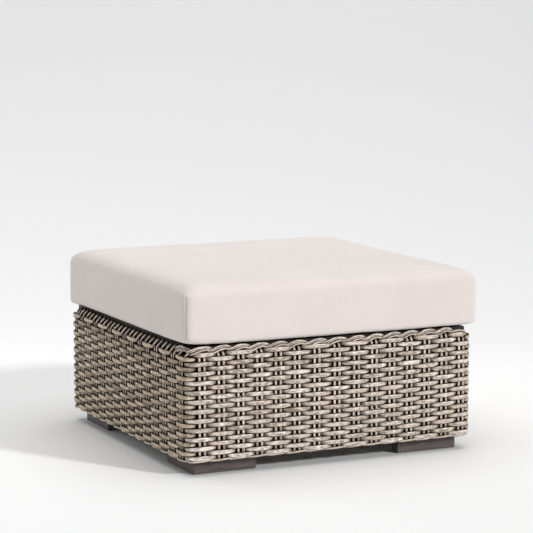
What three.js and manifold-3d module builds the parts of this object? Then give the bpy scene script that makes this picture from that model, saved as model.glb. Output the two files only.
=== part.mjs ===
// An outdoor footstool: an aluminium tube frame covered in woven resin wicker, on four low corner feet,
// with a loose box cushion that lifts off. Millimetres, +Z up, origin on the floor under the middle.
import * as THREE from 'three';
import { mergeVertices } from 'three/addons/utils/BufferGeometryUtils.js';
import Module from 'manifold-3d';

// Driving dimensions
const fitGap = 0.3;
const cutOverrun = 1;

const wickerWidth = 736;
const wickerThickness = 17;
const cornerRadius = 27;
const weaveHeight = 244;
const firstStakeSet = 37;
const stakeCount = 15;
const rowCount = 23;
const weaverThickness = 5;
const stakeDiameter = 7.5;

const edgingHeight = 6.6;
const edgingTwistSet = 1.6;
const borderHeight = 11.6;
const borderDip = 3.4;
const borderDipSet = 2.6;
const borderLean = 9;

const footHeight = 33;
const footSet = 30;
const footLegFront = 155;
const footLegSide = 150;
const footWidth = 29;
const footCornerRadius = 5;
const footEdgeRound = 2;
const footFloor = 12;

const screwRadius = 2.4;
const screwHeadRadius = 4.6;
const screwHeadHeight = 2.8;
const screwReach = 6;
const screwHeadPlay = 0.6;
const screwFromLegEnd = 42;
const screwSet = 8;

const railWidth = 30;
const railHeight = 20;
const tubeWall = 1.5;
const postWidth = 25;
const postCornerRadius = 3;
const deckBarWidth = 20;

const strapWidth = 60;
const strapThickness = 1.8;
const strapPitch = 120;
const strapCount = 5;
const strapEndSet = 4;
const strapFlatMargin = 5;

const cushionOverhang = 4;
const cushionThickness = 130.6;
const cushionCrown = 5;
const cushionRound = 21;
const cushionDrawIn = 4;
const cushionSwell = 3;
const cushionCornerLift = 6;
const coverThickness = 3;

const zipLength = 520;
const zipMouth = 8;
const zipDepth = 4.5;
const tapeThickness = 1;
const coilHeight = 4.8;
const coilThickness = 1.2;
const sliderLength = 13;
const sliderHeight = 7;
const sliderPlate = 1.3;
const sliderPlay = 0.5;
const sliderEndStop = 5;
const bridgeLength = 6;
const bridgeThickness = 1.2;
const bridgeWidth = 1.6;
const pullThickness = 1.2;
const pullPlay = 0.4;
const pullWindow = 3.9;
const pullLength = 24;
const pullHeight = 5.4;
const pullEndRadius = 2;

// Shapes shared out by hand
const borderSectionShares = [
  [0.16, 0],
  [0, 0.36],
  [0.1, 0.8],
  [0.42, 1],
  [1, 0.7],
  [1, 0],
];
const edgingSectionShares = [
  [0.3, 0],
  [0.05, 0.3],
  [0.05, 0.7],
  [0.3, 1],
  [1, 1],
  [1, 0],
];
const weaverCrossingShare = 0.75;
const stakeGapShare = 0.8;
const screwCrownShare = 0.7;

// Counts of facets
const screwSides = 8;
const arcSteps = 3;
const cushionStepsAcross = 12;
const cushionStepsUp = 6;
const coreStepsAcross = 6;
const coreStepsUp = 2;

// Heights from the floor up
const frameBottom = footHeight + fitGap;
const edgingTop = frameBottom + edgingHeight;
const weaveBottom = edgingTop + fitGap;
const weaveTop = weaveBottom + weaveHeight;
const borderBottom = weaveTop + fitGap;
const borderTop = borderBottom + borderHeight;
const strapStep = strapThickness + fitGap;
const cushionBottom = borderTop + fitGap;
const deckTop = borderTop - strapStep - strapThickness;
const topRailTop = deckTop - fitGap;
const topRailBottom = topRailTop - railHeight;
const bottomRailTop = frameBottom + railHeight;

// Plan sizes
const quarter = Math.PI / 2;
const wickerHalf = wickerWidth / 2;
const wallInner = wickerHalf - wickerThickness;
const frameHalf = wallInner - fitGap;
const mitreShift = fitGap / Math.SQRT2;
const halfArc = (cornerRadius * Math.PI) / 4;
const flatHalf = wickerHalf - cornerRadius;
const pathLength = 2 * (flatHalf + halfArc);
const firstStake = halfArc + firstStakeSet - cornerRadius;
const stakePitch = (pathLength - 2 * firstStake) / (stakeCount - 1);
const rowPitch = weaveHeight / rowCount;
const cushionWidth = wickerWidth + 2 * cushionOverhang;
const footHalf = wickerHalf - footSet;
const screwLine = footHalf - screwSet;

const strandPaint = new THREE.MeshStandardMaterial({ color: 0x82776a, roughness: 0.55, metalness: 0 });
const borderPaint = new THREE.MeshStandardMaterial({ color: 0x8a7f73, roughness: 0.5, metalness: 0 });
const footPaint = new THREE.MeshStandardMaterial({ color: 0x4d4340, roughness: 0.5, metalness: 0 });
const tubePaint = new THREE.MeshStandardMaterial({ color: 0x57493f, roughness: 0.5, metalness: 0.6 });
const strapPaint = new THREE.MeshStandardMaterial({ color: 0x3f3833, roughness: 0.7, metalness: 0 });
const screwPaint = new THREE.MeshStandardMaterial({ color: 0x9a9a98, roughness: 0.35, metalness: 0.9 });
const clothPaint = new THREE.MeshStandardMaterial({ color: 0xe4dcd4, roughness: 0.9, metalness: 0 });
const foamPaint = new THREE.MeshStandardMaterial({ color: 0xf1ecdf, roughness: 0.95, metalness: 0 });
const tapePaint = new THREE.MeshStandardMaterial({ color: 0xd8d0c8, roughness: 0.85, metalness: 0 });
const coilPaint = new THREE.MeshStandardMaterial({ color: 0xcfc7bf, roughness: 0.4, metalness: 0 });

const footstool = new THREE.Group();

const wasm = await Module();
wasm.setup();

function addMesh(name, geometry, material, angle = 0) {
  const mesh = new THREE.Mesh(geometry, material);
  mesh.name = name;
  mesh.rotation.z = angle;
  footstool.add(mesh);
  return mesh;
}

function solidFrom(geometry) {
  const plain = geometry.clone();
  plain.deleteAttribute('normal');
  plain.deleteAttribute('uv');
  const merged = mergeVertices(plain);
  return new wasm.Manifold(
    new wasm.Mesh({
      numProp: 3,
      vertProperties: merged.attributes.position.array,
      triVerts: new Uint32Array(merged.index.array),
    }),
  );
}

function geometryFrom(solid) {
  const mesh = solid.getMesh();
  const geometry = new THREE.BufferGeometry();
  geometry.setAttribute('position', new THREE.BufferAttribute(mesh.vertProperties, 3));
  geometry.setIndex(new THREE.BufferAttribute(mesh.triVerts, 1));
  geometry.computeVertexNormals();
  return geometry;
}

function cut(geometry, cutters) {
  let solid = solidFrom(geometry);
  for (const cutter of cutters) solid = solid.subtract(solidFrom(cutter));
  return geometryFrom(solid);
}

function boxBetween(low, high) {
  const size = high.map((value, axis) => value - low[axis]);
  const box = new THREE.BoxGeometry(...size);
  box.translate(...high.map((value, axis) => (value + low[axis]) / 2));
  return box;
}

// The four sides: each is made facing +Y and turned about Z.
const sides = [
  ['back', 0],
  ['left', quarter],
  ['front', Math.PI],
  ['right', -quarter],
];

// A point on the wicker's outline, from the middle of one corner to the middle of the next, set back by
// depth. The two ends lie on the mitre planes, moved off them by half the gap between two sides.
function wickerPoint(along, depth, height) {
  const fromMiddle = along - pathLength / 2;
  const way = Math.sign(fromMiddle);
  const past = Math.max(0, Math.abs(fromMiddle) - flatHalf);
  const turn = past / cornerRadius;
  const reach = Math.min(Math.abs(fromMiddle), flatHalf);
  let x = way * (reach + (cornerRadius - depth) * Math.sin(turn));
  const y = flatHalf + (cornerRadius - depth) * Math.cos(turn);
  if (along <= 0 || along >= pathLength) x -= way * mitreShift;
  return [x, y, height];
}

// The wicker's thickness square to its outline: it is less at the corners, where the inner face is sharp.
function depthAt(along) {
  const past = Math.max(0, Math.abs(along - pathLength / 2) - flatHalf);
  const turn = past / cornerRadius;
  return (flatHalf + cornerRadius * Math.cos(turn) - wallInner) / Math.cos(turn);
}

// Collects points and triangles for one closed mesh.
class MeshBuilder {
  constructor() {
    this.positions = [];
    this.triangles = [];
  }

  point(place, at) {
    this.positions.push(...place);
    return { index: this.positions.length / 3 - 1, at };
  }

  // Joins two rows of points that run the same way. Where both rows have a point at the same place, the
  // shorter row steps first, so a point of it is the tip of the triangles on both sides.
  join(rowA, rowB) {
    let a = 0;
    let b = 0;
    const aFirst = rowA.length <= rowB.length;
    while (a < rowA.length - 1 || b < rowB.length - 1) {
      const nextA = a < rowA.length - 1 ? rowA[a + 1].at : Infinity;
      const nextB = b < rowB.length - 1 ? rowB[b + 1].at : Infinity;
      const stepA = nextA < nextB || (nextA === nextB && aFirst);
      if (stepA) {
        this.triangles.push(rowA[a].index, rowA[a + 1].index, rowB[b].index);
        a += 1;
      } else {
        this.triangles.push(rowA[a].index, rowB[b + 1].index, rowB[b].index);
        b += 1;
      }
    }
  }

  geometry() {
    const geometry = new THREE.BufferGeometry();
    geometry.setAttribute('position', new THREE.Float32BufferAttribute(this.positions, 3));
    geometry.setIndex(this.triangles);
    geometry.computeVertexNormals();
    return geometry;
  }
}

// Places along one side: the corner, each stake, the next corner, and half way between each two.
function stakePlaces() {
  const places = [0];
  for (let stake = 0; stake < stakeCount; stake += 1) places.push(firstStake + stake * stakePitch);
  places.push(pathLength);
  return places.flatMap((place, index) => {
    if (index === 0) return [place];
    return [(places[index - 1] + place) / 2, place];
  });
}

// One woven side. Weavers pass over every second stake and under the next, and each row starts one stake
// later than the row below, so an over-pass is a lens that stands in front of the stakes. A column at a
// stake has one point for each row; a column between stakes has one on each weaver and one in each gap.
function wovenWall() {
  const builder = new MeshBuilder();
  const columns = stakePlaces().map((place, column) => {
    const onStake = column % 2 === 0;
    const stake = column / 2;
    const gapDepth = weaverThickness + stakeGapShare * stakeDiameter;
    const edgeDepth = onStake ? weaverThickness : gapDepth;
    const points = [builder.point(wickerPoint(place, edgeDepth, weaveBottom), weaveBottom)];
    for (let row = 0; row < rowCount; row += 1) {
      const middle = weaveBottom + (row + 0.5) * rowPitch;
      const over = (stake + row) % 2 === 0;
      const stakeDepth = over ? 0 : weaverThickness;
      const depth = onStake ? stakeDepth : weaverCrossingShare * weaverThickness;
      points.push(builder.point(wickerPoint(place, depth, middle), middle));
      const seam = weaveBottom + (row + 1) * rowPitch;
      if (!onStake && row < rowCount - 1) points.push(builder.point(wickerPoint(place, gapDepth, seam), seam));
    }
    points.push(builder.point(wickerPoint(place, edgeDepth, weaveTop), weaveTop));
    return points;
  });
  closeSide(builder, columns);
  return builder.geometry();
}

// Closes a side from its outer columns: two mitred ends, a flat inner face, a top and a bottom.
function closeSide(builder, columns) {
  const inner = [-1, 1].map((way) => {
    const x = way * (wallInner - mitreShift);
    return [weaveBottom, weaveTop].map((height) => builder.point([x, wallInner, height], height));
  });
  const ends = inner.map((column) => column.map((point) => point.index));
  const loop = [inner[0], ...columns, inner[1], inner[0]];
  for (let i = 0; i < loop.length - 1; i += 1) builder.join(loop[i], loop[i + 1]);
  [0, 1].forEach((level) => {
    const outer = columns.map((column, i) => ({ index: column.at(-level).index, at: i }));
    const back = ends.map((end, i) => ({ index: end[level], at: i * (columns.length - 1) }));
    if (level === 0) builder.join(outer, back);
    else builder.join(back, outer);
  });
}

// A bar along one side made of rings of points, closed by a fan at each mitred end.
function ringedBar(rings) {
  const builder = new MeshBuilder();
  const rows = rings.map((ring) => ring.map((place, i) => builder.point(place, i)));
  rows.forEach((row) => row.push({ index: row[0].index, at: row.length }));
  for (let i = 0; i < rows.length - 1; i += 1) builder.join(rows[i], rows[i + 1]);
  [rows[0], rows.at(-1)].forEach((row, end) => {
    for (let i = 1; i < row.length - 2; i += 1) {
      const fan = [row[0].index, row[i].index, row[i + 1].index];
      builder.triangles.push(...(end === 0 ? fan.reverse() : fan));
    }
  });
  return builder.geometry();
}

// The border along the top: the stakes' ends turn over to one side and hump over the next stake.
function topBorder() {
  const places = stakePlaces();
  const rings = places.map((place, column) => {
    const hump = column % 2 === 0;
    const atCorner = column === 0 || column === places.length - 1;
    const height = hump ? borderHeight : borderHeight - borderDip;
    const set = hump ? 0 : borderDipSet;
    return borderSectionShares.map(([depthShare, heightShare]) => {
      const lean = atCorner ? 0 : borderLean * heightShare;
      const leaned = place - lean;
      const depth = set + depthShare * (depthAt(leaned) - set);
      return wickerPoint(leaned, depth, borderBottom + heightShare * height);
    });
  });
  return ringedBar(rings);
}

// The twined strand that binds the bottom of the weave.
function bottomEdging() {
  const places = stakePlaces().filter((place, column) => column % 2 === 0);
  const rings = places.map((place, stake) => {
    const set = stake % 2 === 0 ? 0 : edgingTwistSet;
    return edgingSectionShares.map(([depthShare, heightShare]) => {
      const depth = set + depthShare * (depthAt(place) - set);
      return wickerPoint(place, depth, frameBottom + heightShare * edgingHeight);
    });
  });
  return ringedBar(rings);
}

function rectangle(width, height, radius = 0) {
  const corners = [
    [1, -1],
    [1, 1],
    [-1, 1],
    [-1, -1],
  ];
  const steps = radius ? arcSteps : 0;
  const points = corners.flatMap(([right, up], corner) => {
    const arc = [];
    for (let step = 0; step <= steps; step += 1) {
      const turn = (corner - 1) * quarter + (step * quarter) / arcSteps;
      const x = right * (width / 2 - radius) + radius * Math.cos(turn);
      const y = up * (height / 2 - radius) + radius * Math.sin(turn);
      arc.push(new THREE.Vector2(x, y));
    }
    return arc;
  });
  return new THREE.Shape(points);
}

// A tube of rectangular section, centred, running along X, with open ends.
function tube(width, height, wall, length) {
  const section = rectangle(width, height);
  section.holes.push(rectangle(width - 2 * wall, height - 2 * wall));
  const geometry = new THREE.ExtrudeGeometry(section, { depth: length, bevelEnabled: false });
  geometry.translate(0, 0, -length / 2);
  geometry.rotateX(quarter);
  geometry.rotateZ(quarter);
  return geometry;
}

// A rail of the frame's upper or lower ring, mitred at both ends, its outer face towards +Y.
function mitredRail(bottom) {
  const geometry = tube(railWidth, railHeight, tubeWall, 2 * frameHalf);
  geometry.translate(0, frameHalf - railWidth / 2, bottom + railHeight / 2);
  const position = geometry.attributes.position;
  for (let i = 0; i < position.count; i += 1) {
    position.setX(i, Math.sign(position.getX(i)) * (position.getY(i) - mitreShift));
  }
  return geometry;
}

// Each foot has one screw in each leg. Places on one side, facing +Y, from the corner at each end.
function screwPlaces(side) {
  const alongX = side === 'front' || side === 'back';
  const leg = alongX ? footLegFront : footLegSide;
  const x = footHalf - leg + screwFromLegEnd;
  return [-x, x].map((place) => [place, screwLine]);
}

function bottomRail(side) {
  const holes = screwPlaces(side).map(([x, y]) => {
    const drill = new THREE.CylinderGeometry(
      screwRadius + fitGap,
      screwRadius + fitGap,
      tubeWall + 2 * cutOverrun,
      screwSides,
    );
    drill.rotateX(quarter);
    drill.translate(x, y, frameBottom + tubeWall / 2);
    return drill;
  });
  return cut(mitredRail(frameBottom), holes);
}

function cornerPost() {
  const low = bottomRailTop + fitGap;
  const high = topRailBottom - fitGap;
  const middle = frameHalf - postWidth / 2;
  const section = rectangle(postWidth, postWidth, postCornerRadius);
  const geometry = new THREE.ExtrudeGeometry(section, { depth: high - low, bevelEnabled: false });
  geometry.translate(middle, middle, low);
  const reach = postWidth / 2 - tubeWall;
  const bore = boxBetween(
    [middle - reach, middle - reach, low - cutOverrun],
    [middle + reach, middle + reach, high + cutOverrun],
  );
  return cut(geometry, [bore]);
}

function deckBar(y) {
  const length = 2 * (frameHalf - railWidth - fitGap);
  const geometry = tube(deckBarWidth, railHeight, tubeWall, length);
  geometry.translate(0, y, topRailBottom + railHeight / 2);
  return geometry;
}

// An L-shaped foot at the +X +Y corner, its legs along the two sides, with a stepped hole for each screw.
function cornerFoot(legX, legY) {
  const outline = new THREE.Shape();
  const inner = footHalf - footWidth;
  outline.moveTo(footHalf - legX, inner);
  outline.lineTo(inner, inner);
  outline.lineTo(inner, footHalf - legY);
  outline.lineTo(footHalf, footHalf - legY);
  outline.absarc(footHalf - footCornerRadius, footHalf - footCornerRadius, footCornerRadius, 0, quarter);
  outline.lineTo(footHalf - legX, footHalf);
  outline.closePath();
  const geometry = new THREE.ExtrudeGeometry(outline, {
    depth: footHeight - 2 * footEdgeRound,
    bevelThickness: footEdgeRound,
    bevelSize: footEdgeRound,
    bevelOffset: -footEdgeRound,
    bevelSegments: 1,
    curveSegments: arcSteps,
  });
  geometry.translate(0, 0, footEdgeRound);
  const places = [
    [footHalf - legX + screwFromLegEnd, screwLine],
    [screwLine, footHalf - legY + screwFromLegEnd],
  ];
  const drills = places.flatMap(([x, y]) => {
    const hole = new THREE.CylinderGeometry(
      screwRadius + fitGap,
      screwRadius + fitGap,
      footHeight + 2 * cutOverrun,
      screwSides,
    );
    hole.rotateX(quarter);
    hole.translate(x, y, footHeight / 2);
    const well = new THREE.CylinderGeometry(
      screwHeadRadius + screwHeadPlay,
      screwHeadRadius + screwHeadPlay,
      footHeight - footFloor + cutOverrun,
      screwSides,
    );
    well.rotateX(quarter);
    well.translate(x, y, (footHeight - footFloor - cutOverrun) / 2);
    return [hole, well];
  });
  return cut(geometry, drills);
}

// A pan-head screw, turned on a lathe: its head hangs under the foot's floor, its tip is inside the rail.
function footScrew(x, y) {
  const seat = footHeight - footFloor - fitGap;
  const tip = frameBottom + tubeWall + screwReach;
  const profile = [
    [0, seat - screwHeadHeight],
    [screwHeadRadius * screwCrownShare, seat - screwHeadHeight],
    [screwHeadRadius, seat - screwHeadHeight / 2],
    [screwHeadRadius, seat],
    [screwRadius, seat],
    [screwRadius, tip - screwRadius],
    [0, tip],
  ];
  const points = profile.map(([radius, height]) => new THREE.Vector2(radius, height));
  const geometry = new THREE.LatheGeometry(points, screwSides);
  geometry.rotateX(quarter);
  geometry.rotateZ(quarter);
  geometry.translate(x, y, 0);
  return geometry;
}

// One webbing strap of the deck, running along X: it lies on the rails at its ends and passes over and
// under the straps that cross it.
function deckStrap(order) {
  const end = frameHalf - strapEndSet;
  const flat = strapWidth / 2 + strapFlatMargin;
  const line = [[-end, 0]];
  for (let crossing = 0; crossing < strapCount; crossing += 1) {
    const x = (crossing - (strapCount - 1) / 2) * strapPitch;
    const level = (order + crossing) % 2 === 0 ? 0 : strapStep;
    line.push([x - flat, level], [x + flat, level]);
  }
  line.push([end, 0]);
  const under = line.map(([x, level]) => new THREE.Vector2(x, level));
  const over = line.map(([x, level]) => new THREE.Vector2(x, level + strapThickness)).reverse();
  const geometry = new THREE.ExtrudeGeometry(new THREE.Shape([...under, ...over]), {
    depth: strapWidth,
    bevelEnabled: false,
  });
  geometry.translate(0, 0, -strapWidth / 2);
  geometry.rotateX(quarter);
  geometry.translate(0, 0, deckTop);
  return geometry;
}

// The cushion's form: a box with rounded edges and a crowned top, sides that draw in between the corners
// and swell at half height, and corners that turn up off the wicker. The set is how far it lies inside
// the cover's face.
function cushionForm(set, stepsAcross, stepsUp) {
  const half = cushionWidth / 2 - set;
  const halfHeight = cushionThickness / 2 - set;
  const round = cushionRound - set;
  const reach = new THREE.Vector3(half, half, halfHeight);
  const flat = reach.clone().subScalar(round);
  const geometry = new THREE.BoxGeometry(2, 2, 2, stepsAcross, stepsAcross, stepsUp);
  const position = geometry.attributes.position;
  const point = new THREE.Vector3();
  const core = new THREE.Vector3();
  for (let i = 0; i < position.count; i += 1) {
    point.fromBufferAttribute(position, i);
    point.set(...point.toArray().map((share) => Math.sin((share * Math.PI) / 2)));
    point.multiply(reach);
    core.copy(point).clamp(flat.clone().negate(), flat);
    point.sub(core).setLength(round).add(core);
    const across = Math.abs(point.x) / half;
    const along = Math.abs(point.y) / half;
    const up = point.z / halfHeight;
    const belly = 1 - up ** 2;
    point.x += Math.sign(point.x) * across ** 6 * (cushionSwell * belly - cushionDrawIn) * (1 - along ** 4);
    point.y += Math.sign(point.y) * along ** 6 * (cushionSwell * belly - cushionDrawIn) * (1 - across ** 4);
    if (up > 0) point.z += up * cushionCrown * (1 - across ** 4) * (1 - along ** 4);
    else point.z -= up * cushionCornerLift * (across * along) ** 6;
    position.setXYZ(i, ...point.toArray());
  }
  geometry.translate(0, 0, cushionBottom + cushionThickness / 2);
  return geometry;
}

// The zip lies in a slit along the middle of the cushion's back.
const zipHeight = cushionBottom + cushionThickness / 2;
const backFace = cushionWidth / 2 - cushionDrawIn + cushionSwell;
const zipFloor = backFace - coverThickness - zipDepth;
const tapeBack = zipFloor + fitGap;
const coilBack = tapeBack + tapeThickness + fitGap;
const sliderBack = coilBack + coilThickness + fitGap;
const pullBack = sliderBack + sliderPlate;
const bridgeRoom = pullThickness + 2 * pullPlay;

function zipSlit() {
  const half = zipLength / 2;
  return boxBetween(
    [-half, zipFloor, zipHeight - zipMouth / 2],
    [half, cushionWidth / 2 + cutOverrun, zipHeight + zipMouth / 2],
  );
}

function cushionCover() {
  const room = cushionForm(coverThickness, coreStepsAcross, coreStepsUp);
  return cut(cushionForm(0, cushionStepsAcross, cushionStepsUp), [room, zipSlit()]);
}

function cushionCore() {
  return cut(cushionForm(coverThickness + fitGap, coreStepsAcross, coreStepsUp), [zipSlit()]);
}

function zipStrip(back, thickness, height, length) {
  return boxBetween(
    [-length / 2, back, zipHeight - height / 2],
    [length / 2, back + thickness, zipHeight + height / 2],
  );
}

// The slider's channel holds the coil between two lips, and a bridge on its face holds the pull.
function zipSlider(x) {
  const half = sliderHeight / 2;
  const lip = coilHeight / 2 + sliderPlay;
  const lipBack = coilBack + coilThickness / 2;
  const face = sliderBack + sliderPlate;
  const section = new THREE.Shape();
  section.moveTo(lipBack, -half);
  section.lineTo(face, -half);
  section.lineTo(face, half);
  section.lineTo(lipBack, half);
  section.lineTo(lipBack, lip);
  section.lineTo(sliderBack, lip);
  section.lineTo(sliderBack, -lip);
  section.lineTo(lipBack, -lip);
  const channel = new THREE.ExtrudeGeometry(section, { depth: sliderLength, bevelEnabled: false });
  channel.translate(0, 0, -sliderLength / 2);
  channel.rotateX(quarter);
  channel.rotateZ(quarter);
  channel.translate(x, 0, zipHeight);
  const arch = new THREE.Shape();
  const outer = bridgeLength / 2;
  const inner = outer - bridgeThickness;
  arch.moveTo(-outer, -sliderPlate / 2);
  arch.lineTo(-outer, bridgeRoom + bridgeThickness);
  arch.lineTo(outer, bridgeRoom + bridgeThickness);
  arch.lineTo(outer, -sliderPlate / 2);
  arch.lineTo(inner, -sliderPlate / 2);
  arch.lineTo(inner, bridgeRoom);
  arch.lineTo(-inner, bridgeRoom);
  arch.lineTo(-inner, -sliderPlate / 2);
  const bridge = new THREE.ExtrudeGeometry(arch, { depth: bridgeWidth, bevelEnabled: false });
  bridge.translate(x, face, zipHeight - bridgeWidth / 2);
  return geometryFrom(solidFrom(channel).add(solidFrom(bridge)));
}

// The pull's end bar turns under the bridge, which stands in the pull's window.
function zipPull(x) {
  const bar = pullThickness / 2;
  const half = pullHeight / 2;
  const outline = new THREE.Shape();
  outline.moveTo(-bar, -half);
  outline.lineTo(pullLength - pullEndRadius, -half);
  outline.absarc(pullLength - pullEndRadius, pullEndRadius - half, pullEndRadius, -quarter, 0);
  outline.absarc(pullLength - pullEndRadius, half - pullEndRadius, pullEndRadius, 0, quarter);
  outline.lineTo(-bar, half);
  const gap = bridgeWidth / 2 + pullPlay;
  const window = new THREE.Path();
  window.moveTo(bar, -gap);
  window.lineTo(bar + pullWindow, -gap);
  window.lineTo(bar + pullWindow, gap);
  window.lineTo(bar, gap);
  outline.holes.push(window);
  const geometry = new THREE.ExtrudeGeometry(outline, {
    depth: pullThickness,
    bevelEnabled: false,
    curveSegments: arcSteps,
  });
  geometry.rotateX(quarter);
  geometry.translate(x, pullBack + pullPlay + pullThickness, zipHeight);
  return geometry;
}

function addWicker() {
  for (const [side, angle] of sides) {
    addMesh(`wicker_${side}`, wovenWall(), strandPaint, angle);
    addMesh(`top_border_${side}`, topBorder(), borderPaint, angle);
    addMesh(`bottom_edging_${side}`, bottomEdging(), borderPaint, angle);
  }
}

function addFrame() {
  for (const [side, angle] of sides) {
    addMesh(`top_rail_${side}`, mitredRail(topRailBottom), tubePaint, angle);
    addMesh(`bottom_rail_${side}`, bottomRail(side), tubePaint, angle);
  }
  const corners = ['back_right', 'back_left', 'front_left', 'front_right'];
  corners.forEach((corner, i) => {
    addMesh(`corner_post_${corner}`, cornerPost(), tubePaint, (i * Math.PI) / 2);
  });
  addMesh('deck_bar_back', deckBar(strapPitch / 2), tubePaint);
  addMesh('deck_bar_front', deckBar(-strapPitch / 2), tubePaint);
}

// A foot's legs swap over with each quarter turn, so that the front and back legs stay alike.
function addFeet() {
  const corners = ['back_right', 'back_left', 'front_left', 'front_right'];
  corners.forEach((corner, i) => {
    const legs = i % 2 === 0 ? [footLegFront, footLegSide] : [footLegSide, footLegFront];
    const angle = (i * Math.PI) / 2;
    addMesh(`foot_${corner}`, cornerFoot(...legs), footPaint, angle);
    const first = footScrew(footHalf - legs[0] + screwFromLegEnd, screwLine);
    const second = footScrew(screwLine, footHalf - legs[1] + screwFromLegEnd);
    addMesh(`foot_screw_${corner}_1`, first, screwPaint, angle);
    addMesh(`foot_screw_${corner}_2`, second, screwPaint, angle);
  });
}

function addDeck() {
  for (let order = 0; order < strapCount; order += 1) {
    const place = (order - (strapCount - 1) / 2) * strapPitch;
    const across = addMesh(`deck_strap_across_${order + 1}`, deckStrap(order), strapPaint);
    across.position.y = place;
    const along = addMesh(`deck_strap_along_${order + 1}`, deckStrap(order + 1), strapPaint, quarter);
    along.position.x = place;
  }
}

function addCushion() {
  const closed = zipLength / 2 - pullLength - sliderEndStop;
  const strip = zipLength - 2 * fitGap;
  addMesh('cushion_cover', cushionCover(), clothPaint);
  addMesh('cushion_core', cushionCore(), foamPaint);
  addMesh('zip_tape', zipStrip(tapeBack, tapeThickness, zipMouth - 2 * fitGap, strip), tapePaint);
  addMesh('zip_coil', zipStrip(coilBack, coilThickness, coilHeight, strip), coilPaint);
  addMesh('zip_slider', zipSlider(closed), screwPaint);
  addMesh('zip_pull', zipPull(closed), screwPaint);
}

addWicker();
addFrame();
addFeet();
addDeck();
addCushion();

export default footstool;
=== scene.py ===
import math
import random

import bmesh
import bpy
import numpy as np
from mathutils import Matrix, Vector


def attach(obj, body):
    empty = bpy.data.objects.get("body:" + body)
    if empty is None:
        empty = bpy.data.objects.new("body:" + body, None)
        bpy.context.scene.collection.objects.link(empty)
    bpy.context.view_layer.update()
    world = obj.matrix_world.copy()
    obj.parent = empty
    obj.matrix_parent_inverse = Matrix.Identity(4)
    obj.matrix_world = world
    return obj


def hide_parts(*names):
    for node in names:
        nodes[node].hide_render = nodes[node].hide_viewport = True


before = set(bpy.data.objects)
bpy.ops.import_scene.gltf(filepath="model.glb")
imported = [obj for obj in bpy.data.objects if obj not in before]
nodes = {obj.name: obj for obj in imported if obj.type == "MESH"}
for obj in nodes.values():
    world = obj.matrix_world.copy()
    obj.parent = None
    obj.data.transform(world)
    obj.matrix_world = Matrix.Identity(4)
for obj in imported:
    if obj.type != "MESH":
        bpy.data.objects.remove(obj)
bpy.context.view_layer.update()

mm = 0.001


# small helpers

def linkObject(name, data):
    made = bpy.data.objects.new(name, data)
    bpy.context.scene.collection.objects.link(made)
    return made


def objectFromBmesh(name, bm):
    data = bpy.data.meshes.new(name)
    bm.to_mesh(data)
    bm.free()
    return linkObject(name, data)


def applyModifiers(target):
    graph = bpy.context.evaluated_depsgraph_get()
    shaped = bpy.data.meshes.new_from_object(target.evaluated_get(graph))
    old = target.data
    target.modifiers.clear()
    target.data = shaped
    shaped.name = target.name
    bpy.data.meshes.remove(old)


def mixValues(low, high, share):
    return low + (high - low) * share


# from 0 to 1, slow at both ends
def easeShare(share):
    return (1 - math.cos(math.pi * share)) / 2


# camera, fitted to the photo

photoView = dict(
    place=(-2.208, -4.691, 1.108), tiltDown=7.661, turn=-25.237, lens=146.14, sensor=36, farthest=60,
)


def addCamera():
    data = bpy.data.cameras.new("camera")
    data.sensor_width = photoView["sensor"]
    data.lens = photoView["lens"]
    data.clip_end = photoView["farthest"]
    camera = linkObject("camera", data)
    camera.location = photoView["place"]
    camera.rotation_euler = (math.radians(90 - photoView["tiltDown"]), 0, math.radians(photoView["turn"]))
    bpy.context.scene.camera = camera


# material helpers

def newMaterial(name, inputs):
    material = bpy.data.materials.new(name)
    material.use_nodes = True
    tree = material.node_tree
    shader = tree.nodes["Principled BSDF"]
    for label, value in inputs.items():
        shader.inputs[label].default_value = value
    return material, tree, shader


def addNode(tree, kind, inputs=None, **settings):
    made = tree.nodes.new(kind)
    for name, value in settings.items():
        setattr(made, name, value)
    for name, value in (inputs or {}).items():
        made.inputs[name].default_value = value
    return made


def addMath(tree, operation, inputs=None, **settings):
    return addNode(tree, "ShaderNodeMath", inputs, operation=operation, **settings)


def addVector(tree, operation, inputs=None):
    return addNode(tree, "ShaderNodeVectorMath", inputs, operation=operation)


# spreads what lies between low and high over start to end; a finish lists its ranges in that order
def addRange(tree, low=0.0, high=1.0, start=0.0, end=1.0, **settings):
    values = {"From Min": low, "From Max": high, "To Min": start, "To Max": end}
    return addNode(tree, "ShaderNodeMapRange", values, **settings)


def addNoise(tree, scale, detail, roughness):
    return addNode(tree, "ShaderNodeTexNoise", {"Scale": scale, "Detail": detail, "Roughness": roughness})


def addBump(tree, strength, distance):
    return addNode(tree, "ShaderNodeBump", {"Strength": strength, "Distance": distance})


# its factor is input 0, its result is output 2
def addColourMix(tree, first, second):
    made = addNode(tree, "ShaderNodeMix", data_type="RGBA")
    made.inputs[6].default_value = (*first, 1)
    made.inputs[7].default_value = (*second, 1)
    return made


# each link is a node, its output, the next node and its input
def joinNodes(tree, *links):
    for node, output, follower, place in links:
        tree.links.new(node.outputs[output], follower.inputs[place])


def newGroup(name, vectors, numbers, results):
    group = bpy.data.node_groups.new(name, "ShaderNodeTree")
    for label in vectors:
        group.interface.new_socket(label, in_out="INPUT", socket_type="NodeSocketVector")
    for label in numbers:
        group.interface.new_socket(label, in_out="INPUT", socket_type="NodeSocketFloat")
    for label in results:
        group.interface.new_socket(label, in_out="OUTPUT", socket_type="NodeSocketFloat")
    return group, group.nodes.new("NodeGroupInput"), group.nodes.new("NodeGroupOutput")


def placeGroup(tree, group, **values):
    made = tree.nodes.new("ShaderNodeGroup")
    made.node_tree = group
    for name, value in values.items():
        made.inputs[name].default_value = value
    return made


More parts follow.
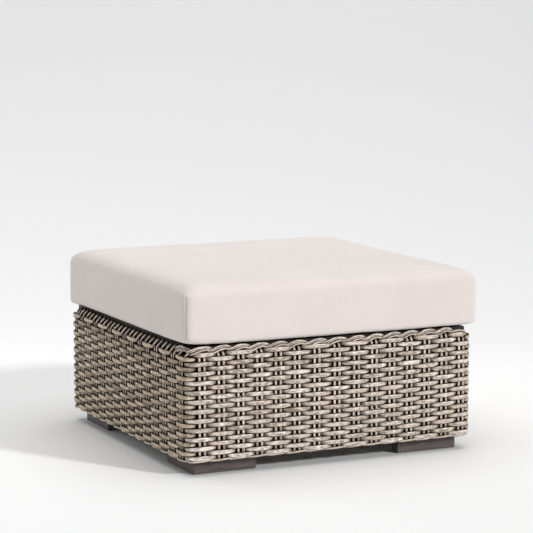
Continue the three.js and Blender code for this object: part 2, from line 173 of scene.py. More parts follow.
def fillRamp(ramp, stops):
    elements = ramp.color_ramp.elements
    while len(elements) < len(stops):
        elements.new(0.5)
    for element, (place, colour) in zip(elements, stops):
        element.position = place
        element.color = (*colour, 1)


# fine streaks drawn out along one direction, as in pulled resin or brushed metal
def makeStreaks():
    group, given, out = newGroup("fineStreaks", ["Vector"], ["Fine", "Stretch"], ["Value"])
    along = addMath(group, "MULTIPLY")
    combine = addNode(group, "ShaderNodeCombineXYZ")
    scaled = addVector(group, "MULTIPLY")
    noise = addNoise(group, scale=1.0, detail=3.0, roughness=0.6)
    joinNodes(
        group,
        (given, "Fine", along, 0), (given, "Stretch", along, 1),
        (along, 0, combine, "X"), (given, "Fine", combine, "Y"), (given, "Fine", combine, "Z"),
        (given, "Vector", scaled, 0), (combine, 0, scaled, 1),
        (scaled, 0, noise, "Vector"), (noise, "Fac", out, "Value"),
    )
    return group


# threads of a plain weave, from a position measured along the cloth
def makeThreads():
    group, given, out = newGroup("plainWeave", ["Vector"], ["Threads"], ["Height"])
    scaled = addVector(group, "SCALE")
    parts = addNode(group, "ShaderNodeSeparateXYZ")
    product = addMath(group, "MULTIPLY")
    over = addMath(group, "GREATER_THAN", {1: 0.0})
    pick = addNode(group, "ShaderNodeMix", data_type="FLOAT")
    joinNodes(group, (given, "Vector", scaled, 0), (given, "Threads", scaled, "Scale"), (scaled, 0, parts, 0))
    for order, axis in enumerate("XY"):
        turned = addMath(group, "MULTIPLY", {1: math.pi})
        wave = addMath(group, "SINE")
        size = addMath(group, "ABSOLUTE")
        joinNodes(
            group,
            (parts, axis, turned, 0), (turned, 0, wave, 0), (wave, 0, size, 0),
            (wave, 0, product, order), (size, 0, pick, 2 + order),
        )
    joinNodes(group, (product, 0, over, 0), (over, 0, pick, "Factor"), (pick, 0, out, "Height"))
    return group


streakGroup = makeStreaks()
weaveGroup = makeThreads()


# light and floor

studio = dict(
    keyPlan=(0.526, -0.85), keyHeight=25, keyStrength=1.87, keyAngle=6, skyStrength=0.31, skySeen=0.8,
    overhead=100, overheadSize=5.0, overheadHeight=4.2, fill=14, fillSize=1.6, fillPlace=(-2.3, 2.3, 1.3),
    floorStart=-40, floorHalf=16, coveStart=1.05, coveRadius=3.0, coveSteps=16, backTop=9,
    rough=0.8, shine=0.1, viewAlong=(0.4262, 0.9046, 0),
    backdrop=[(0.9, 0.95), (1.4, 0.845), (2.0, 0.80), (2.9, 0.70), (3.4, 0.68)],
)


def addAreaLight(name, power, size, place):
    light = bpy.data.lights.new(name, "AREA")
    light.energy = power
    light.size = size
    made = linkObject(name, light)
    made.location = place
    return made


def addLights():
    world = bpy.data.worlds.new("studio")
    world.use_nodes = True
    tree = world.node_tree
    sky = tree.nodes["Background"]
    sky.inputs["Color"].default_value = (1, 1, 1, 1)
    ray = addNode(tree, "ShaderNodeLightPath")
    seen = addRange(tree, start=studio["skyStrength"], end=studio["skySeen"])
    joinNodes(tree, (ray, "Is Camera Ray", seen, "Value"), (seen, "Result", sky, "Strength"))
    bpy.context.scene.world = world
    key = bpy.data.lights.new("key", "SUN")
    key.energy = studio["keyStrength"]
    key.angle = math.radians(studio["keyAngle"])
    way = Vector((*studio["keyPlan"], math.tan(math.radians(studio["keyHeight"]))))
    linkObject("key", key).rotation_euler = way.to_track_quat("Z", "Y").to_euler()
    addAreaLight("overhead", studio["overhead"], studio["overheadSize"], (0, 0, studio["overheadHeight"]))
    side = addAreaLight("fill", studio["fill"], studio["fillSize"], studio["fillPlace"])
    side.rotation_euler = Vector(studio["fillPlace"]).to_track_quat("Z", "Y").to_euler()


# white near the piece and painted greyer with distance, standing in for the light falling off over the floor
# and sweep; seen through from behind and below, so that the sweep never hides the piece from another side
def makeFloorPaint():
    look = {"Roughness": studio["rough"], "Specular IOR Level": studio["shine"]}
    material, tree, shader = newMaterial("studioFloorPaint", look)
    start, end = studio["backdrop"][0][0], studio["backdrop"][-1][0]
    place = addNode(tree, "ShaderNodeTexCoord")
    along = addVector(tree, "DOT_PRODUCT", {1: studio["viewAlong"]})
    share = addRange(tree, start, end)
    ramp = addNode(tree, "ShaderNodeValToRGB")
    fillRamp(ramp, [((far - start) / (end - start), (tone, tone, tone)) for far, tone in studio["backdrop"]])
    ramp.color_ramp.interpolation = "B_SPLINE"
    side = addNode(tree, "ShaderNodeNewGeometry")
    clear = addNode(tree, "ShaderNodeBsdfTransparent")
    both = addNode(tree, "ShaderNodeMixShader")
    joinNodes(
        tree,
        (place, "Object", along, 0), (along, "Value", share, "Value"), (share, "Result", ramp, "Fac"),
        (ramp, "Color", shader, "Base Color"), (side, "Backfacing", both, 0), (shader, 0, both, 1),
        (clear, 0, both, 2), (both, 0, tree.nodes["Material Output"], "Surface"),
    )
    return material


# a floor that curves up into a backdrop, square to the camera
def addFloor():
    start, radius, half = studio["coveStart"], studio["coveRadius"], studio["floorHalf"]
    line = [(studio["floorStart"], 0), (start, 0)]
    for step in range(1, studio["coveSteps"] + 1):
        turn = step / studio["coveSteps"] * math.pi / 2
        line.append((start + radius * math.sin(turn), radius * (1 - math.cos(turn))))
    line.append((line[-1][0], studio["backTop"]))
    bm = bmesh.new()
    rows = [[bm.verts.new((x, y, z)) for x in (-half, half)] for y, z in line]
    for (left, right), (nextLeft, nextRight) in zip(rows, rows[1:]):
        bm.faces.new((left, right, nextRight, nextLeft)).smooth = True
    turned = Matrix.Rotation(math.radians(photoView["turn"]), 3, "Z")
    bmesh.ops.rotate(bm, verts=bm.verts, cent=(0, 0, 0), matrix=turned)
    floor = objectFromBmesh("studioFloor", bm)
    floor.data.materials.append(makeFloorPaint())


# the wicker's plan: places run clockwise round the outline from the front right corner, seen from above

plan = dict(
    half=0.368, cornerRadius=0.027, stakes=15, firstStake=0.0312058,
    frontDrift=[-6, -7, -8.2, -9.3, -10.8, -12, -13, -10.4, -6.2, -3.3, -3.7, -4.2, -5.3, -5, -5.5],
    leftDrift=[0, 1, 3, 6, 9, 11, 12.5, 13, 13.5, 14, 15, 15.5, 15, 13, 10],
    drift=[0, 1.2, -0.8, 0.5, -1.5, 0.9, 1.8, -0.6, -1.9, 0.4, 1.1, -1.2, 0.7, -0.3, 0.2],
)
flatHalf = plan["half"] - plan["cornerRadius"]
sideLength = 2 * (flatHalf + plan["cornerRadius"] * math.pi / 4)
stakePitch = (sideLength - 2 * plan["firstStake"]) / (plan["stakes"] - 1)
perSide = plan["stakes"]
around = 4 * perSide
sideNames = ["front", "left", "back", "right"]


def wickerPoint(place, depth, height):
    side = math.floor(place / sideLength + 1e-9)
    fromMiddle = place - side * sideLength - sideLength / 2
    way = math.copysign(1, fromMiddle)
    past = max(0, abs(fromMiddle) - flatHalf)
    turn = past / plan["cornerRadius"]
    reach = plan["cornerRadius"] - depth
    x = way * (min(abs(fromMiddle), flatHalf) + reach * math.sin(turn))
    y = flatHalf + reach * math.cos(turn)
    angle = math.pi - side * math.pi / 2
    return (x * math.cos(angle) - y * math.sin(angle), x * math.sin(angle) + y * math.cos(angle), height)


def stakePlace(index):
    side, order = divmod(index, perSide)
    drift = (plan["frontDrift"], plan["leftDrift"], plan["drift"], plan["drift"][::-1])[side % 4][order]
    return side * sideLength + plan["firstStake"] + order * stakePitch + drift * mm


def placeBetween(index):
    low = math.floor(index)
    return mixValues(stakePlace(low), stakePlace(low + 1), index - low)


def ovalSection(name, halfDepth, halfHeight, sides, power):
    data = bpy.data.curves.new(name, "CURVE")
    data.dimensions = "2D"
    spline = data.splines.new("POLY")
    spline.points.add(sides - 1)
    for i, point in enumerate(spline.points):
        turn = -2 * math.pi * (i + 0.5) / sides
        across, up = math.cos(turn), math.sin(turn)
        size = (abs(across) ** power + abs(up) ** power) ** (-1 / power)
        point.co = (halfDepth * across * size, halfHeight * up * size, 0, 1)
    spline.use_cyclic_u = True
    return linkObject(name, data)


# a strand's map: metres along it, a set width once round its section, and the phase that its edges lie at
strandMap = dict(around=0.03, phase=0.35)


# sweeps a section along each strand; a strand is a list of (point, share of the section's size)
def weaveStrands(name, strands, tones, section, sides, twist, closed=False):
    data = bpy.data.curves.new(name, "CURVE")
    data.dimensions = "3D"
    data.twist_mode = twist
    data.bevel_mode = "OBJECT"
    data.bevel_object = section
    for strand in strands:
        spline = data.splines.new("POLY")
        spline.points.add(len(strand) - 1)
        for point, (place, size) in zip(spline.points, strand):
            point.co = (*place, 1)
            point.radius = size
        spline.use_cyclic_u = closed
    curve = linkObject(name + "Curve", data)
    graph = bpy.context.evaluated_depsgraph_get()
    mesh = bpy.data.meshes.new_from_object(curve.evaluated_get(graph))
    bpy.data.objects.remove(curve)
    tone = mesh.attributes.new("strandTone", "FLOAT", "POINT")
    values = [np.repeat(np.broadcast_to(value, len(strand)), sides) for strand, value in zip(strands, tones)]
    tone.data.foreach_set("value", np.concatenate(values).astype(np.float32))
    lengths = []
    for strand in strands:
        walk = sum((Vector(b[0]) - Vector(a[0])).length for a, b in zip(strand, strand[1:]))
        lengths += [walk] * (len(strand) - (0 if closed else 1)) * sides
    uv = mesh.uv_layers[0]
    uv.name = "strand"
    flat = np.zeros(len(mesh.loops) * 2, np.float32)
    uv.data.foreach_get("uv", flat)
    flat = flat.reshape(-1, 4, 2)
    flat[:, :, 0] *= np.array(lengths)[:, None]
    flat[:, :, 1] *= strandMap["around"]
    uv.data.foreach_set("uv", flat.ravel())
    bm = bmesh.new()
    bm.from_mesh(mesh)
    if not closed:
        bmesh.ops.holes_fill(bm, edges=[e for e in bm.edges if e.is_boundary], sides=sides)
    bmesh.ops.recalc_face_normals(bm, faces=bm.faces)
    for face in bm.faces:
        face.smooth = len(face.verts) == 4
    bm.to_mesh(mesh)
    bm.free()
    mesh.name = name
    return linkObject(name, mesh)


# wicker strand material, with painted shade between the strands

wickerLook = dict(
    tones=[
        (0.00, (0.400, 0.326, 0.256)), (0.25, (0.560, 0.472, 0.384)), (0.45, (0.640, 0.552, 0.462)),
        (0.62, (0.630, 0.515, 0.405)), (0.80, (0.560, 0.498, 0.425)), (1.00, (0.730, 0.645, 0.550)),
    ],
    deepShade=0.01, warmth=(0.92, 1.04, 1.17), inward=(-0.5, 0.0, 0.75, 1.0), rough=(0.35, 0.58), shine=0.04,
    coat=0.30, coatRough=0.2, mapShift=7.0, patchTone=1.6, bump=dict(strength=0.12, distance=0.0004),
    streaks=dict(Fine=700.0, Stretch=0.05), streakRange=(0.3, 0.7, 0.7, 1.25),
    patches=dict(Fine=210.0, Stretch=0.38), patchRange=(0.38, 0.62, 0.68, 1.25),
)

# painted shade: a strand is painted darker with its depth in the wall, from near to far, where it faces
# aslant and not square out of the wall, and towards its edges, from edgeStart on, standing in for the shade
# between strands
wickerKinds = dict(
    wickerWeaver=dict(
        depth=dict(Near=0.0050, Far=0.0112, Aslant=0.76, Square=0.985), aslantShade=0.10,
        edgeStart=0.52, edgeShade=0.0, tint=(1.0, 1.02, 1.08),
    ),
    # painted shade: a darker, warmer copy for the left and right sides, which the key light misses
    wickerWeaverShaded=dict(
        depth=dict(Near=0.0035, Far=0.0085, Aslant=0.60, Square=0.96), aslantShade=0.05,
        edgeStart=0.46, edgeShade=0.0, tint=(0.92, 0.885, 0.82),
    ),
    wickerStake=dict(
        depth=dict(Near=0.0050, Far=0.0074, Aslant=0.55, Square=0.95), aslantShade=0.01,
        edgeStart=0.99, edgeShade=1.0, tint=(1.0, 1.02, 1.06),
    ),
    wickerBorder=dict(
        depth=dict(Near=0.0064, Far=0.0104, Aslant=0.05, Square=0.50), aslantShade=0.60,
        edgeStart=0.36, edgeShade=0.0, tint=(1.0, 1.02, 1.06),
    ),
)


# how far a point lies behind the wicker's rounded outline, as a share from near to far, and how squarely the
# surface faces out of the wall, from aslant to square: the masks for the wicker's painted shade
def makeWallDepth():
    group, given, out = newGroup(
        "wallDepth", ["Vector", "Normal"], ["Near", "Far", "Aslant", "Square"], ["Share", "Facing"],
    )
    size = addVector(group, "ABSOLUTE")
    inset = addVector(group, "SUBTRACT", {1: (flatHalf, flatHalf, 10)})
    past = addVector(group, "MAXIMUM", {1: (0, 0, 0)})
    reach = addVector(group, "LENGTH")
    parts = addNode(group, "ShaderNodeSeparateXYZ")
    flat = addMath(group, "MAXIMUM")
    inside = addMath(group, "MINIMUM", {1: 0.0})
    total = addMath(group, "ADD")
    depth = addMath(group, "SUBTRACT", {0: plan["cornerRadius"]})
    spread = addRange(group, interpolation_type="SMOOTHSTEP")
    joinNodes(
        group,
        (given, "Vector", size, 0), (size, 0, inset, 0), (inset, 0, past, 0), (past, 0, reach, 0),
        (inset, 0, parts, 0), (parts, "X", flat, 0), (parts, "Y", flat, 1), (flat, 0, inside, 0),
        (reach, "Value", total, 0), (inside, 0, total, 1), (total, 0, depth, 1), (depth, 0, spread, "Value"),
        (given, "Near", spread, "From Min"), (given, "Far", spread, "From Max"),
    )

    # the level part of the normal against the way out of the wall
    outward = addVector(group, "NORMALIZE")
    turned = addVector(group, "ABSOLUTE")
    levelled = addVector(group, "MULTIPLY", {1: (1, 1, 0)})
    plain = addVector(group, "NORMALIZE")
    faced = addVector(group, "DOT_PRODUCT")
    facing = addRange(group, interpolation_type="SMOOTHSTEP")
    joinNodes(
        group,
        (past, 0, outward, 0), (outward, 0, faced, 0), (given, "Normal", turned, 0), (turned, 0, levelled, 0),
        (levelled, 0, plain, 0), (plain, 0, faced, 1), (faced, "Value", facing, "Value"),
        (given, "Aslant", facing, "From Min"), (given, "Square", facing, "From Max"),
        (facing, "Result", out, "Facing"),
    )

    # the depth counts for less where the surface looks into the wall, so the painted shade is lighter there
    sign = addVector(group, "SIGN")
    away = addVector(group, "MULTIPLY")
    against = addVector(group, "DOT_PRODUCT")
    outer = addRange(group, *wickerLook["inward"])
    shaded = addMath(group, "MULTIPLY")
    joinNodes(
        group,
        (given, "Vector", sign, 0), (sign, 0, away, 0), (outward, 0, away, 1), (away, 0, against, 0),
        (given, "Normal", against, 1), (against, "Value", outer, "Value"), (outer, "Result", shaded, 0),
        (spread, "Result", shaded, 1), (shaded, 0, out, "Share"),
    )
    return group


# how near a point of a strand lies to the section's upper or lower edge, from its own map: the mask for the
# painted shade between rows
def makeStrandEdge():
    group, given, out = newGroup("strandEdge", ["Vector"], ["Start"], ["Share"])
    parts = addNode(group, "ShaderNodeSeparateXYZ")
    turn = addMath(group, "MULTIPLY_ADD", {1: 2 * math.pi / strandMap["around"], 2: strandMap["phase"]})
    wave = addMath(group, "SINE")
    size = addMath(group, "ABSOLUTE")
    spread = addRange(group, interpolation_type="SMOOTHSTEP")
    joinNodes(
        group,
        (given, "Vector", parts, 0), (parts, "Y", turn, 0), (turn, 0, wave, 0), (wave, 0, size, 0),
        (size, 0, spread, "Value"), (given, "Start", spread, "From Min"), (spread, "Result", out, "Share"),
    )
    return group


depthGroup = makeWallDepth()
edgeGroup = makeStrandEdge()


def makeWickerMaterial(name):
    kind = wickerKinds[name]
    look = {"Specular IOR Level": wickerLook["shine"], "Coat Roughness": wickerLook["coatRough"]}
    material, tree, shader = newMaterial(name, look)
    uv = addNode(tree, "ShaderNodeUVMap", uv_map="strand")
    position = addNode(tree, "ShaderNodeTexCoord")
    tone = addNode(tree, "ShaderNodeAttribute", attribute_name="strandTone")

    # streaks and patches along the strand, others on each
    apart = addMath(tree, "MULTIPLY", {1: wickerLook["mapShift"]})
    shift = addNode(tree, "ShaderNodeCombineXYZ")
    spread = addVector(tree, "ADD")
    streaks = placeGroup(tree, streakGroup, **wickerLook["streaks"])
    patches = placeGroup(tree, streakGroup, **wickerLook["patches"])
    grain = addRange(tree, *wickerLook["streakRange"])
    blotch = addRange(tree, *wickerLook["patchRange"])
    mottled = addMath(tree, "MULTIPLY")
    joinNodes(
        tree,
        (tone, "Fac", apart, 0), (apart, 0, shift, "Z"), (uv, "UV", spread, 0), (shift, 0, spread, 1),
        (spread, 0, streaks, "Vector"), (spread, 0, patches, "Vector"),
        (streaks, "Value", grain, "Value"), (patches, "Value", blotch, "Value"),
        (blotch, "Result", mottled, 0), (grain, "Result", mottled, 1),
    )

    # the strand's tone, swayed by its patches, picks the colour
    sway = addMath(tree, "MULTIPLY_ADD", {1: wickerLook["patchTone"], 2: -wickerLook["patchTone"] / 2})
    place = addMath(tree, "ADD", use_clamp=True)
    ramp = addNode(tree, "ShaderNodeValToRGB")
    fillRamp(ramp, [(at, np.multiply(colour, kind["tint"])) for at, colour in wickerLook["tones"]])
    joinNodes(
        tree,
        (patches, "Value", sway, 0), (tone, "Fac", place, 0), (sway, 0, place, 1), (place, 0, ramp, "Fac"),
    )

    # painted shade, standing in for the shade between the strands: darker by depth in the wall, by the way
    # the surface faces and towards the strand's edges
    deep = placeGroup(tree, depthGroup, **kind["depth"])
    edge = placeGroup(tree, edgeGroup, Start=kind["edgeStart"])
    aside = addRange(tree, start=kind["aslantShade"])
    sink = addRange(tree, start=1.0, end=wickerLook["deepShade"])
    rim = addRange(tree, start=1.0, end=kind["edgeShade"])
    paintedDepthShade = addMath(tree, "MULTIPLY")
    paintedShade = addMath(tree, "MULTIPLY")
    joinNodes(
        tree,
        (position, "Object", deep, "Vector"), (position, "Normal", deep, "Normal"),
        (uv, "UV", edge, "Vector"), (edge, "Share", rim, "Value"), (rim, "Result", paintedShade, 0),
        (deep, "Facing", aside, "Value"), (aside, "Result", paintedDepthShade, 0),
        (deep, "Share", sink, "Value"), (sink, "Result", paintedDepthShade, 1), (paintedDepthShade, 0, paintedShade, 1),
    )

    # painted shade: the deeper a strand lies, the darker and the warmer it is painted, standing in for shade
    # and light bounced inside the weave; the coat fades with the same painted shade
    warm = addNode(tree, "ShaderNodeCombineXYZ")
    for axis, power in zip("XYZ", wickerLook["warmth"]):
        bent = addMath(tree, "POWER", {1: power})
        joinNodes(tree, (paintedShade, 0, bent, 0), (bent, 0, warm, axis))
    shaded = addVector(tree, "MULTIPLY")
    shade = addVector(tree, "SCALE")
    coat = addMath(tree, "MULTIPLY", {1: wickerLook["coat"]})
    rough = addRange(tree, 0.0, 1.0, *wickerLook["rough"])
    bump = addBump(tree, **wickerLook["bump"])
    joinNodes(
        tree,
        (ramp, "Color", shaded, 0), (warm, 0, shaded, 1), (shaded, 0, shade, 0), (mottled, 0, shade, "Scale"),
        (shade, 0, shader, "Base Color"), (paintedShade, 0, coat, 0), (coat, 0, shader, "Coat Weight"),
        (streaks, "Value", rough, "Value"), (rough, "Result", shader, "Roughness"),
        (streaks, "Value", bump, "Height"), (bump, "Normal", shader, "Normal"),
    )
    return material


# woven sides: each row of strand goes over one pair of stakes and under the next

weaver = dict(
    rows=23, lowest=0.0427, pitch=0.01062, halfHeight=0.0062, halfDepth=0.0025, power=2.1, sides=10,
    steps=8, cornerSteps=10, over=0.0025, under=0.0151, topUnder=0.013, topLift=0.0025,
    heightSway=0.00045, sizeSway=0.05, toneRun=0.6, shadedSideTone=0.2, seed=11,
    sag=0.006, sagFrom=0.036, sagTall=0.25, sagLean=0.5, sagLow=0.8, sagFlat=0.7,
    # from the stakes that a strand goes over, at 0, to the next ones, which it goes under, at 1
    sizes=[(0, 1), (0.3, 0.97), (0.5, 0.87), (0.72, 0.70), (0.8, 0.70), (1, 0.85)],
    sinks=[(0, 0), (0.3, 0.03), (0.5, 0.17), (0.66, 0.40), (0.78, 0.70), (0.88, 0.98), (1, 1)],
    cornerSinks=[(0, 0), (0.35, 0.01), (0.5, 0.09), (0.7, 0.34), (0.84, 0.70), (0.92, 0.98), (1, 1)],
)


# straight or eased between the pairs of a table
def readTable(table, at, eased=False):
    for (a, low), (b, high) in zip(table, table[1:]):
        if at <= b:
            share = (at - a) / (b - a)
            return mixValues(low, high, easeShare(share) if eased else share)
    return table[-1][1]


# the rows hang a little towards the middle of a side, most at half height
def rowSag(place, height):
    along = math.pi * (place / sideLength % 1)
    rise = max(0, min(1, (height - weaver["sagFrom"]) / weaver["sagTall"]))
    across = math.sin(along) * (1 + weaver["sagLean"] * math.cos(along))
    return weaver["sag"] * across * math.sin(math.pi * rise ** weaver["sagLow"]) ** weaver["sagFlat"]


def strandStations(first, last, corners):
    stations = []
    for index in range(first, last + 1):
        steps = weaver["cornerSteps"] if index in corners else weaver["steps"]
        stations += [(index, step / steps) for step in range(steps)]
    return stations + [(last, 1.0)]


# small random values of one row, one for each stake
def swayRow(chance, size):
    return [chance.uniform(-1, 1) * size for _ in range(around)]


def swayAt(row, index, t):
    return mixValues(row[index % around], row[(index + 1) % around], easeShare(t))


# one row's strand on one side; it ends behind a stake, so a pass that wraps a corner is whole and belongs to
# one of the sides, except in the top row, which ends at the corner itself
def rowStrand(side, row, rise, swell):
    before, after = corners = side * perSide - 1, (side + 1) * perSide - 1
    first, last = before + (before + row + 1) % 2, after - (after + row) % 2
    middle = weaver["lowest"] + row * weaver["pitch"]
    topRow, lifted = row == weaver["rows"] - 1, side % 2 and row == weaver["rows"] - 2
    strand, stakesPassed = [], []
    for index, t in strandStations(first, last, corners):
        if topRow and ((index == before and t < 0.5) or (index == after and t > 0.5)):
            continue
        away = t if (index + row) % 2 == 0 else 1 - t
        sinks = weaver["cornerSinks"] if index in corners else weaver["sinks"]
        depth = mixValues(weaver["over"], weaver["under"], readTable(sinks, away))
        if topRow and index in corners:
            depth = max(depth, mixValues(weaver["over"], weaver["topUnder"], math.sin(math.pi * t)))
        lift = swayAt(rise, index, t)
        if lifted:
            lift += weaver["topLift"] * (t if index == before else 1 - t if index == after else 1)
        place = mixValues(stakePlace(index), stakePlace(index + 1), t)
        size = readTable(weaver["sizes"], away, eased=True) * (1 + swayAt(swell, index, t))
        strand.append((wickerPoint(place, depth, middle + lift - rowSag(place, middle)), size))
        stakesPassed.append(index % around)
    return strand, stakesPassed


def addWovenSides(materials):
    chance = random.Random(weaver["seed"])
    rise = [swayRow(chance, weaver["heightSway"]) for _ in range(weaver["rows"])]
    swell = [swayRow(chance, weaver["sizeSway"]) for _ in range(weaver["rows"])]
    rowTone = []
    for row in range(weaver["rows"]):
        tone, other, change = chance.random(), chance.random(), chance.randrange(around)
        alike = [(index - change) % around < around * weaver["toneRun"] for index in range(around)]
        rowTone.append([tone if same else other for same in alike])
    section = ovalSection(
        "weaverSection", weaver["halfDepth"], weaver["halfHeight"], weaver["sides"], weaver["power"],
    )

    for side, sideName in enumerate(sideNames):
        strands, tones = [], []
        for row in range(weaver["rows"] - side % 2):
            strand, stakesPassed = rowStrand(side, row, rise[row], swell[row])
            strands.append(strand)
            # painted shade: the rows of the left and right sides are given a lower tone
            tones.append([rowTone[row][index] - side % 2 * weaver["shadedSideTone"] for index in stakesPassed])
        woven = weaveStrands("weave_" + sideName, strands, tones, section, weaver["sides"], "Z_UP")
        woven.data.materials.append(materials[side % 2])
        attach(woven, "root")
        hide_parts("wicker_" + sideName)
    bpy.data.objects.remove(section)
    print("woven sides made")


# stakes: pairs of round strand that run up the wall and lean in behind the border; the front and back go on
# in three thinner strands a stake, which hump over the next one, the left and right in two that roll inwards

stake = dict(
    radius=0.0047, apart=0.0061, sides=8, steps=3, sway=0.0005, swayTall=40, thinned=0.72, thinnedAt=0.28,
    tone=0.7, toneSpread=0.3, rolledLow=0.007, seed=23,
    # a line's points: stakes along, depth in the wall and height, both in mm
    post=[
        (0, 8.6, 34), (0, 8.6, 150), (0, 8.6, 257), (0, 8.7, 264), (0.01, 9.0, 270), (0.03, 9.8, 276),
        (0.08, 11.2, 282), (0.16, 12.2, 286),
    ],
)
borderPlan = dict(
    radius=0.0027, sag=0.0025, sway=0.0006, bob=0.5, bobTurn=3, toneSway=0.15, start=255, grown=25,
    cornerDrop=[0.013, 0.001, 0.013, 0.006], cornerSink=0.003, cornerDeepest=0.0105, cornerReach=0.065,
    # humped: line, tone and share of the radius; rolls: shift in stakes and tone; start and grown are in mm
    # the filler's low tone is painted shade beneath the upper and lower strands
    humped=[("upper", 0.9, 0.95), ("filler", 0.05, 1), ("lower", 0.75, 0.9)],
    rolls=[(-0.24, 0.2), (0.24, 0.42)], rolledSize=1.15,
    upper=[
        (0.42, 11, 287), (0.58, 9.2, 290.4), (0.74, 7.4, 292.6), (0.92, 6, 293.3), (1.1, 5, 292.9),
        (1.26, 4.5, 291), (1.4, 4.4, 288.4), (1.52, 5.2, 285.8), (1.62, 7.6, 283.6), (1.68, 10.4, 282.6),
    ],
    filler=[
        (0.36, 11.6, 284), (0.52, 10.4, 287), (0.68, 9, 288.8), (0.84, 7.6, 289.4), (1.02, 6.6, 289.2),
        (1.18, 6, 287.8), (1.32, 5.6, 285.6), (1.44, 6, 283.2), (1.54, 8.2, 281), (1.6, 10.6, 280),
    ],
    lower=[
        (0.34, 11.6, 280), (0.5, 9.6, 283.4), (0.64, 7.4, 285.2), (0.8, 5.6, 286), (0.96, 4.6, 285.8),
        (1.1, 3.9, 284.4), (1.22, 3.6, 282.2), (1.33, 4.2, 279.8), (1.43, 6.6, 277.6), (1.5, 10, 276.4),
    ],
    rolled=[
        (0, 11.5, 257), (0, 8.6, 262.5), (-0.01, 6.4, 267), (-0.04, 5.3, 271), (-0.10, 5.4, 275.4),
        (-0.17, 6.4, 279.6), (-0.25, 8.2, 283.4), (-0.33, 10.2, 286.6), (-0.41, 12.2, 289),
        (-0.48, 13.8, 290.4),
    ],
)


# passes smoothly through the points it is given
def smoothThrough(points, steps):
    line = []
    last = len(points) - 1
    for i in range(last):
        a, b, c, d = (np.array(points[max(0, min(last, i + n))], float) for n in (-1, 0, 1, 2))
        for step in range(steps):
            t = step / steps
            curved = (2 * a - 5 * b + 4 * c - d) * t * t + (3 * b - a - 3 * c + d) * t ** 3
            line.append(0.5 * (2 * b + (c - a) * t + curved))
    line.append(np.array(points[-1], float))
    return line


# the border hangs a little in the middle of a side and is drawn down and in at the corners
def borderPoint(place, depth, height):
    sides = place / sideLength
    above = min(1, max(0, (height - borderPlan["start"]) / borderPlan["grown"]))
    sag = borderPlan["sag"] * math.sin(math.pi * (sides % 1)) ** 2 * above
    corner = abs(sides - round(sides)) * sideLength
    near = (1 + math.cos(math.pi * min(1, corner / borderPlan["cornerReach"]))) / 2 * above
    sunk = min(depth * mm + borderPlan["cornerSink"] * near, max(depth * mm, borderPlan["cornerDeepest"]))
    drop = borderPlan["cornerDrop"][round(sides) % 4] * near
    return wickerPoint(place, sunk, height * mm - sag - drop)


def addStakes(material, chance):
    section = ovalSection("stakeSection", stake["radius"], stake["radius"], stake["sides"], 2)
    line = stake["post"][:2] + smoothThrough(stake["post"][2:], stake["steps"])
    strands, tones = [], []
    for index in range(around):
        rolled = index // perSide % 2
        for way in (1, -1):
            sway = chance.uniform(-1, 1)
            strand = []
            for turn, depth, height in line:
                if rolled and height > borderPlan["start"]:
                    height -= stake["rolledLow"] / mm
                place = placeBetween(index + turn) + way * stake["apart"] * (1 - turn)
                place += stake["sway"] * sway * math.sin(height / stake["swayTall"])
                size = mixValues(1, stake["thinned"], min(1, turn / stake["thinnedAt"]))
                strand.append((borderPoint(place, depth, height), size))
            strands.append(strand)
            # painted shade: the stakes of the left and right sides get the lowest tone
            tones.append((0 if rolled else stake["tone"]) + stake["toneSpread"] * chance.random())
    stakes = weaveStrands("stakes", strands, tones, section, stake["sides"], "MINIMUM")
    stakes.data.materials.append(material)
    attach(stakes, "root")
    bpy.data.objects.remove(section)
    print("stakes made")


def addBorder(material, chance):
    section = ovalSection("borderSection", borderPlan["radius"], borderPlan["radius"], stake["sides"], 2)
    humps = [side * perSide + order for side in (0, 2) for order in range(-1, perSide)]
    rolls = [side * perSide + order for side in (1, 3) for order in range(perSide)]
    kinds = [(index, *kind) for index in humps for kind in borderPlan["humped"]]
    rolledSize = borderPlan["rolledSize"]
    for index in rolls:
        kinds += [(index + shift, "rolled", tone, rolledSize) for shift, tone in borderPlan["rolls"]]
    strands, tones = [], []
    for index, kind, tone, size in kinds:
        sway = chance.uniform(-1, 1)
        strand = []
        for turn, depth, height in smoothThrough(borderPlan[kind], stake["steps"]):
            place = placeBetween(index + turn) + borderPlan["sway"] * sway
            height += borderPlan["bob"] * sway * math.sin(borderPlan["bobTurn"] * turn)
            strand.append((borderPoint(place, depth, height), size))
        strands.append(strand)
        tones.append(tone + borderPlan["toneSway"] * chance.uniform(-1, 1))
    border = weaveStrands("top_border", strands, tones, section, stake["sides"], "Z_UP")
    border.data.materials.append(material)
    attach(border, "root")
    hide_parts(*["top_border_" + name for name in sideNames])
    bpy.data.objects.remove(section)
    print("border made")


# bottom edging: two thin strands twined round each other

edging = dict(
    radius=0.0031, middle=0.0358, depth=0.0076, swing=0.0042, rise=0.0010, sides=8, steps=6,
    tones=[0.55, 0.75],
)


def addEdging(material):
    section = ovalSection("edgingSection", edging["radius"], edging["radius"], edging["sides"], 2)
    strands = []
    for phase in (0, 1):
        strand = []
        for index in range(around):
            for step in range(edging["steps"]):
                t = step / edging["steps"]
                place = mixValues(stakePlace(index), stakePlace(index + 1), t)
                wave = math.pi * (index + t + phase)
                depth = edging["depth"] + edging["swing"] * math.cos(wave)
                height = edging["middle"] + edging["rise"] * math.sin(wave)
                strand.append((wickerPoint(place, depth, height), 1))
        strands.append(strand)
    tones, sides = edging["tones"], edging["sides"]
    edge = weaveStrands("bottom_edging", strands, tones, section, sides, "Z_UP", closed=True)
    edge.data.materials.append(material)
    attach(edge, "root")
    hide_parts(*["bottom_edging_" + name for name in sideNames])
    bpy.data.objects.remove(section)
    print("bottom edging made")


# cushion: a box with rounded edges, swollen by a cloth simulation, its seams sunk and its zip slit cut

